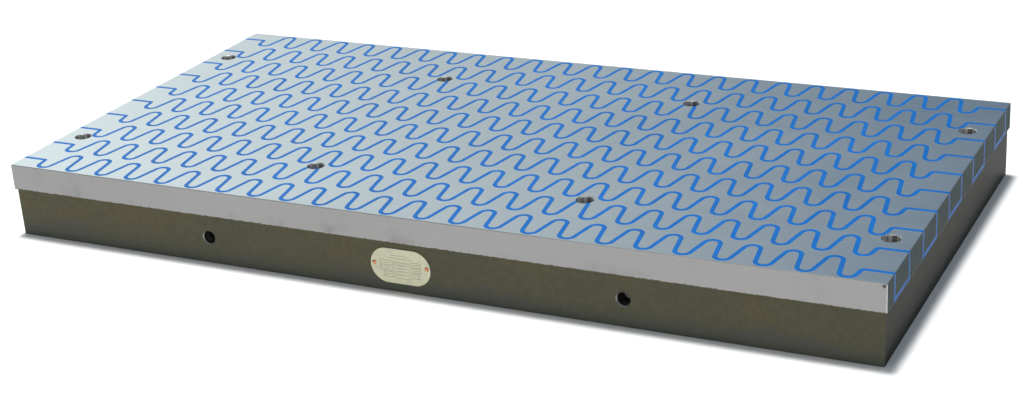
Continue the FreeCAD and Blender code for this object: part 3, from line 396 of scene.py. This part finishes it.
def plastic(name, dark, light, rough, scale=500.0, relief=0.00004, level=0.5):
    """A moulded or sheet material: slight tone drift and a fine surface grain."""
    look = Look(name)
    grain = look.noise(scale, 3.0, 0.6)
    drift = look.noise(30.0, 3.0, 0.5)
    look.set(
        Base_Color=look.mix(look.step(look.add(look.times(grain, 0.5), look.times(drift, 0.5)), 0.35, 0.65), dark, light),
        Roughness=look.add(look.step(grain, 0.3, 0.7, rough - 0.05, rough + 0.05), look.step(drift, 0.3, 0.7, -0.04, 0.04)),
        Specular_IOR_Level=level,
        Normal=look.bump(grain, relief),
    )
    return look


# enamelled winding: turns lie side by side round each long pole
copper = Look("winding")
turns = copper.node("TexWave", 1, dict(wave_type="BANDS", bands_direction="Z"), Vector=copper.place, Scale=130.0, Distortion=0.4, Detail=1.0)
tint = copper.noise(22.0, 3.0, 0.5)
copper.set(
    Base_Color=copper.mix(turns, copper.mix(tint, (0.16, 0.045, 0.018, 1), (0.24, 0.07, 0.028, 1)), (0.52, 0.20, 0.09, 1)),
    Metallic=1.0,
    Roughness=copper.step(turns, 0.0, 1.0, 0.42, 0.28),
    Normal=copper.bump(turns, 0.0003),
)

# pale printed plate with a plain finish; its edges are painted dark as painted shade
label = Look("label")
brush = label.noise(1.0, 3.0, 0.6, label.stretch((30.0, 30.0, 2400.0)))
age = label.noise(85.0, 4.0, 0.6)
label_nx, label_ny, label_nz = label.axes(label.normal)
edge_painted_shade = label.step(label.size(label_ny), 0.55, 0.9, 1.0, 0.0)
face = label.mix(label.step(age, 0.35, 0.68), LABEL, LABEL_GREY)
face = label.mix(label.step(brush, 0.3, 0.7, 0.0, 0.25), face, (0.62, 0.62, 0.47, 1))
label.set(
    Base_Color=label.mix(edge_painted_shade, face, (0.05, 0.055, 0.045, 1)),
    Metallic=0.25,
    Roughness=label.step(brush, 0.3, 0.7, 0.38, 0.48),
    Normal=label.bump(brush, 0.000008),
)

rivet = metal("rivet", (0.50, 0.17, 0.075, 1), (0.74, 0.33, 0.17, 1), 0.30, (300.0, 300.0, 300.0), 0.00002, (0.16, 0.06, 0.03, 1))
core = metal("core_metal", (0.26, 0.26, 0.255, 1), (0.40, 0.40, 0.39, 1), 0.42, (9.0, 900.0, 40.0), 0.00001, (0.16, 0.14, 0.12, 1))
black = metal("black_oxide", (0.025, 0.025, 0.027, 1), (0.060, 0.060, 0.064, 1), 0.38, (400.0, 400.0, 400.0), 0.00002, (0.10, 0.08, 0.06, 1))
pin = metal("bright_pin", (0.50, 0.50, 0.50, 1), (0.68, 0.68, 0.68, 1), 0.24, (40.0, 900.0, 40.0), 0.000006, (0.32, 0.31, 0.29, 1))
brass = metal("brass", (0.50, 0.34, 0.11, 1), (0.68, 0.50, 0.20, 1), 0.28, (500.0, 500.0, 500.0), 0.00001, (0.26, 0.15, 0.05, 1))
contact = metal("contact", (0.58, 0.43, 0.17, 1), (0.76, 0.62, 0.30, 1), 0.22, (60.0, 900.0, 900.0), 0.000006, (0.30, 0.2, 0.08, 1))
former = plastic("former", (0.30, 0.24, 0.13, 1), (0.42, 0.35, 0.21, 1), 0.55)
rubber = plastic("rubber", (0.010, 0.010, 0.010, 1), (0.022, 0.022, 0.022, 1), 0.72, 900.0, 0.00006, 0.35)
block = plastic("block", (0.48, 0.45, 0.36, 1), (0.60, 0.57, 0.48, 1), 0.45, 700.0, 0.00002)
sleeve = plastic("sleeve", (0.20, 0.012, 0.010, 1), (0.34, 0.024, 0.016, 1), 0.38, 300.0, 0.00002)
insert = plastic("insert", (0.012, 0.012, 0.014, 1), (0.026, 0.026, 0.028, 1), 0.48, 900.0, 0.00003)

# grey powder coat on the inlet castings, rubbed thin on its corners
coat = Look("inlet_coat")
cnx, cny, cnz = (coat.size(v) for v in coat.axes(coat.normal))
grit = coat.noise(1100.0, 3.0, 0.6)
cloudy = coat.noise(55.0, 4.0, 0.55)
corner = coat.most(coat.least(cnx, cny), coat.least(coat.most(cnx, cny), cnz))
corner = coat.times(coat.step(corner, 0.35, 0.6), coat.step(cloudy, 0.45, 0.62))
coat.set(
    Base_Color=coat.mix(coat.times(corner, 0.6), coat.mix(coat.step(cloudy, 0.3, 0.7), (0.125, 0.13, 0.135, 1), (0.165, 0.17, 0.172, 1)), (0.30, 0.30, 0.30, 1)),
    Metallic=coat.times(corner, 0.5),
    Roughness=coat.step(grit, 0.3, 0.7, 0.46, 0.58),
    Normal=coat.bump(grit, 0.00007),
)

FINISH = {
    "base_paint": paint,
    "plate_steel": steel,
    "gap_resin": resin,
    "core_steel": core,
    "coil_copper": copper,
    "former_plastic": former,
    "label_metal": label,
    "rivet_copper": rivet,
    "seal_rubber": rubber,
    "fastener_steel": black,
    "block_plastic": block,
    "terminal_brass": brass,
    "wire_sleeve": sleeve,
    "inlet_paint": coat,
    "insert_plastic": insert,
    "contact_brass": contact,
    "pin_steel": pin,
}
for name, node in NODES.items():
    wear(name, look=FINISH[node.data.materials[0].name.split(".")[0]])


# ---------------------------------------------------------------- added detail
def solid(name, verts, faces, look, body, smooth=False):
    mesh = bpy.data.meshes.new(name)
    mesh.from_pydata([tuple(v) for v in verts], [], faces)
    mesh.validate()
    bm = bmesh.new()
    bm.from_mesh(mesh)
    bmesh.ops.recalc_face_normals(bm, faces=bm.faces)
    bm.to_mesh(mesh)
    bm.free()
    mesh.materials.append(look.mat)
    for p in mesh.polygons:
        p.use_smooth = smooth
    piece = bpy.data.objects.new(name, mesh)
    scene.collection.objects.link(piece)
    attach(piece, body)
    return piece


def thread(name, x, z, mouth, inward, root, tip, pitch, length, body, look):
    """The ridge of an internal thread in a hole along Y: a closed helical band, thinned at both ends."""
    per = 40
    count = int(per * length / pitch)
    verts, faces = [], []
    for i in range(count + 1):
        t = i / per
        fade = max(min(1.0, i / (0.6 * per), (count - i) / (0.6 * per)), 0.02)
        ang = 2 * math.pi * t
        y = mouth + inward * (t * pitch + 0.4 * pitch)
        tip_r = root - (root - tip) * fade
        for r, off in ((root, -0.46), (root, 0.46), (tip_r, 0.10), (tip_r, -0.10)):
            verts.append((x + r * math.cos(ang), y + inward * off * pitch * (fade * 0.5 + 0.5), z + r * math.sin(ang)))
        if i:
            a, b = 4 * (i - 1), 4 * i
            for j in range(4):
                k = (j + 1) % 4
                faces.append((a + j, a + k, b + k, b + j))
    n = 4 * count
    faces.append((0, 1, 2, 3))
    faces.append((n + 3, n + 2, n + 1, n))
    return solid(name, verts, faces, look, body)


threaded = metal("thread_metal", (0.10, 0.10, 0.095, 1), (0.26, 0.26, 0.25, 1), 0.34, (300.0, 300.0, 300.0), 0.00001, (0.06, 0.05, 0.04, 1))
base_low, base_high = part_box("base_housing")
count = 0
for x in (-0.241, 0.241):
    for mouth_y, inward in ((base_low[1], 1.0), (base_high[1], -1.0)):
        count += 1
        thread("lift_thread_%d" % count, x, 0.030, mouth_y + inward * 0.0034, inward, 0.00702, 0.00668, 0.002, 0.0120, "chuck", threaded)

# plain ruled lines on the name plate: boxes and rows, no lettering
plate_low, plate_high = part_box("name_plate")
ink = plastic("label_ink", (0.150, 0.155, 0.115, 1), (0.230, 0.235, 0.180, 1), 0.5, 1500.0, 0.000004)
mid_x, mid_z = (plate_low[0] + plate_high[0]) / 2, (plate_low[2] + plate_high[2]) / 2
verts, faces = [], []
RULE = 0.42


def strip(x0, z0, x1, z1):
    """One thin raised bar of the ruling, in mm from the plate's centre."""
    n = len(verts)
    for y in (plate_low[1] + 0.00002, plate_low[1] - 0.00006):
        verts.extend([(mid_x + x * MM, y, mid_z + z * MM) for x, z in ((x0, z0), (x1, z0), (x1, z1), (x0, z1))])
    faces.extend(tuple(n + i for i in f) for f in ((0, 1, 2, 3), (7, 6, 5, 4), (0, 4, 5, 1), (1, 5, 6, 2), (2, 6, 7, 3), (3, 7, 4, 0)))


BOXES = ((-24.0, 0.5, -9.0, 6.0), (-24.0, -5.5, -9.0, -0.5), (-20.0, -12.5, -9.0, -6.5), (-7.0, -13.5, 10.5, 4.5), (12.5, 1.0, 23.5, 6.5), (12.5, -5.0, 23.5, 0.0), (12.5, -11.5, 21.5, -6.0))
for x0, z0, x1, z1 in BOXES:
    strip(x0, z0, x1, z0 + RULE)
    strip(x0, z1 - RULE, x1, z1)
    strip(x0, z0 + RULE, x0 + RULE, z1 - RULE)
    strip(x1 - RULE, z0 + RULE, x1, z1 - RULE)
for x0, x1, z in ((-5.0, 8.5, 1.2), (-5.0, 8.5, -2.2), (-5.0, 8.5, -5.6), (-5.0, 8.5, -9.4), (-22.0, -11.0, 3.1), (-22.0, -11.0, -3.2), (-18.0, -11.0, -9.6), (14.5, 21.5, 3.6), (14.5, 21.5, -2.6), (14.5, 19.5, -8.9), (-14.0, 14.0, 8.6), (-10.0, 10.0, 11.6)):
    strip(x0, z, x1, z + RULE)
solid("name_plate_ruling", verts, faces, ink, "chuck")

# ---------------------------------------------------------------- floor, light, view
ground = Look("floor")
ground.set(Base_Color=ground.mix(ground.noise(3.0, 3.0, 0.5), (0.93, 0.93, 0.93, 1), (0.95, 0.95, 0.95, 1)), Roughness=0.9, Specular_IOR_Level=0.2)
mesh = bpy.data.meshes.new("floor")
bm = bmesh.new()
bmesh.ops.create_grid(bm, x_segments=24, y_segments=24, size=20.0)
bm.to_mesh(mesh)
bm.free()
mesh.materials.append(ground.mat)
floor = bpy.data.objects.new("floor", mesh)
scene.collection.objects.link(floor)


def toward(azimuth, elevation):
    """The direction at an azimuth, in degrees from +Y towards -X, and an elevation."""
    a, e = math.radians(azimuth), math.radians(elevation)
    return Vector((-math.sin(a) * math.cos(e), math.cos(a) * math.cos(e), math.sin(e)))


# soft surroundings: an even dim fill and a few broad lobes (azimuth, elevation, sharpness, colour)
FILL = (0.055, 0.075, 0.09)
LOBES = [
    (64, 20, 8.0, (1.12, 1.25, 1.26)),
    (44, 20, 14.0, (0.58, 0.64, 0.60)),
    (0, 22, 6.0, (0.0, 0.075, 0.19)),
    (150, 50, 4.0, (0.26, 0.26, 0.25)),
    (-76, 24, 7.0, (0.56, 0.60, 0.64)),
    (-160, 26, 6.0, (0.36, 0.37, 0.38)),
]
world = bpy.data.worlds.new("studio")
scene.world = world
world.use_nodes = True
wt = world.node_tree
wt.nodes.clear()
w_out = wt.nodes.new("ShaderNodeOutputWorld")
w_bg = wt.nodes.new("ShaderNodeBackground")
w_dir = wt.nodes.new("ShaderNodeTexCoord")


def w_math(kind, operation, a, b, socket=1):
    n = wt.nodes.new(kind)
    n.operation = operation
    wt.links.new(a, n.inputs[0])
    if isinstance(b, bpy.types.NodeSocket):
        wt.links.new(b, n.inputs[socket])
    else:
        n.inputs[socket].default_value = b
    return n


total = None
for azimuth, elevation, sharpness, colour in LOBES:
    dot = w_math("ShaderNodeVectorMath", "DOT_PRODUCT", w_dir.outputs["Generated"], toward(azimuth, elevation))
    power = w_math("ShaderNodeMath", "POWER", w_math("ShaderNodeMath", "MAXIMUM", dot.outputs["Value"], 0.0).outputs[0], sharpness)
    tint = wt.nodes.new("ShaderNodeVectorMath")
    tint.operation = "SCALE"
    tint.inputs[0].default_value = colour
    wt.links.new(power.outputs[0], tint.inputs["Scale"])
    total = w_math("ShaderNodeVectorMath", "ADD", tint.outputs[0], FILL if total is None else total).outputs[0]
wt.links.new(total, w_bg.inputs[0])
wt.links.new(w_bg.outputs[0], w_out.inputs[0])
w_bg.inputs[1].default_value = 1.0


def softbox(name, azimuth, elevation, distance, width, height, radiance, colour=(1, 1, 1), aim=(0, 0, 0.05)):
    """An area light round the aim, facing it."""
    back = toward(azimuth, elevation)
    data = bpy.data.lights.new(name, "AREA")
    data.shape, data.size, data.size_y = "RECTANGLE", width, height
    data.energy = radiance * width * height * math.pi
    data.color = colour
    lamp = bpy.data.objects.new(name, data)
    lamp.location = Vector(aim) + back * distance
    lamp.rotation_mode = "QUATERNION"
    lamp.rotation_quaternion = back.to_track_quat("Z", "Y")
    lamp.visible_camera = False
    scene.collection.objects.link(lamp)
    return lamp


softbox("key", 39, 84.5, 8.0, 1.1, 1.1, 175.0, (1.0, 0.99, 0.97))
softbox("front", 168, 10, 3.6, 3.4, 1.2, 1.3, (1.0, 0.96, 0.90))

cam = bpy.data.cameras.new("camera")
cam.sensor_width = 36.0
cam.sensor_fit = "HORIZONTAL"
cam.lens = 66.167
cam.clip_start, cam.clip_end = 0.05, 100.0
view = bpy.data.objects.new("camera", cam)
view.matrix_world = Matrix(
    (
        (0.89685569, -0.1150731, 0.42709256, 0.90819),
        (0.43790412, 0.36713875, -0.82063946, -1.74781),
        (-0.06236871, 0.92302075, 0.37966146, 0.81349),
        (0.0, 0.0, 0.0, 1.0),
    )
)
scene.collection.objects.link(view)
scene.camera = view
scene.view_settings.view_transform = "Standard"
scene.view_settings.look = "None"
scene.view_settings.exposure = 0.0
scene.view_settings.gamma = 1.0
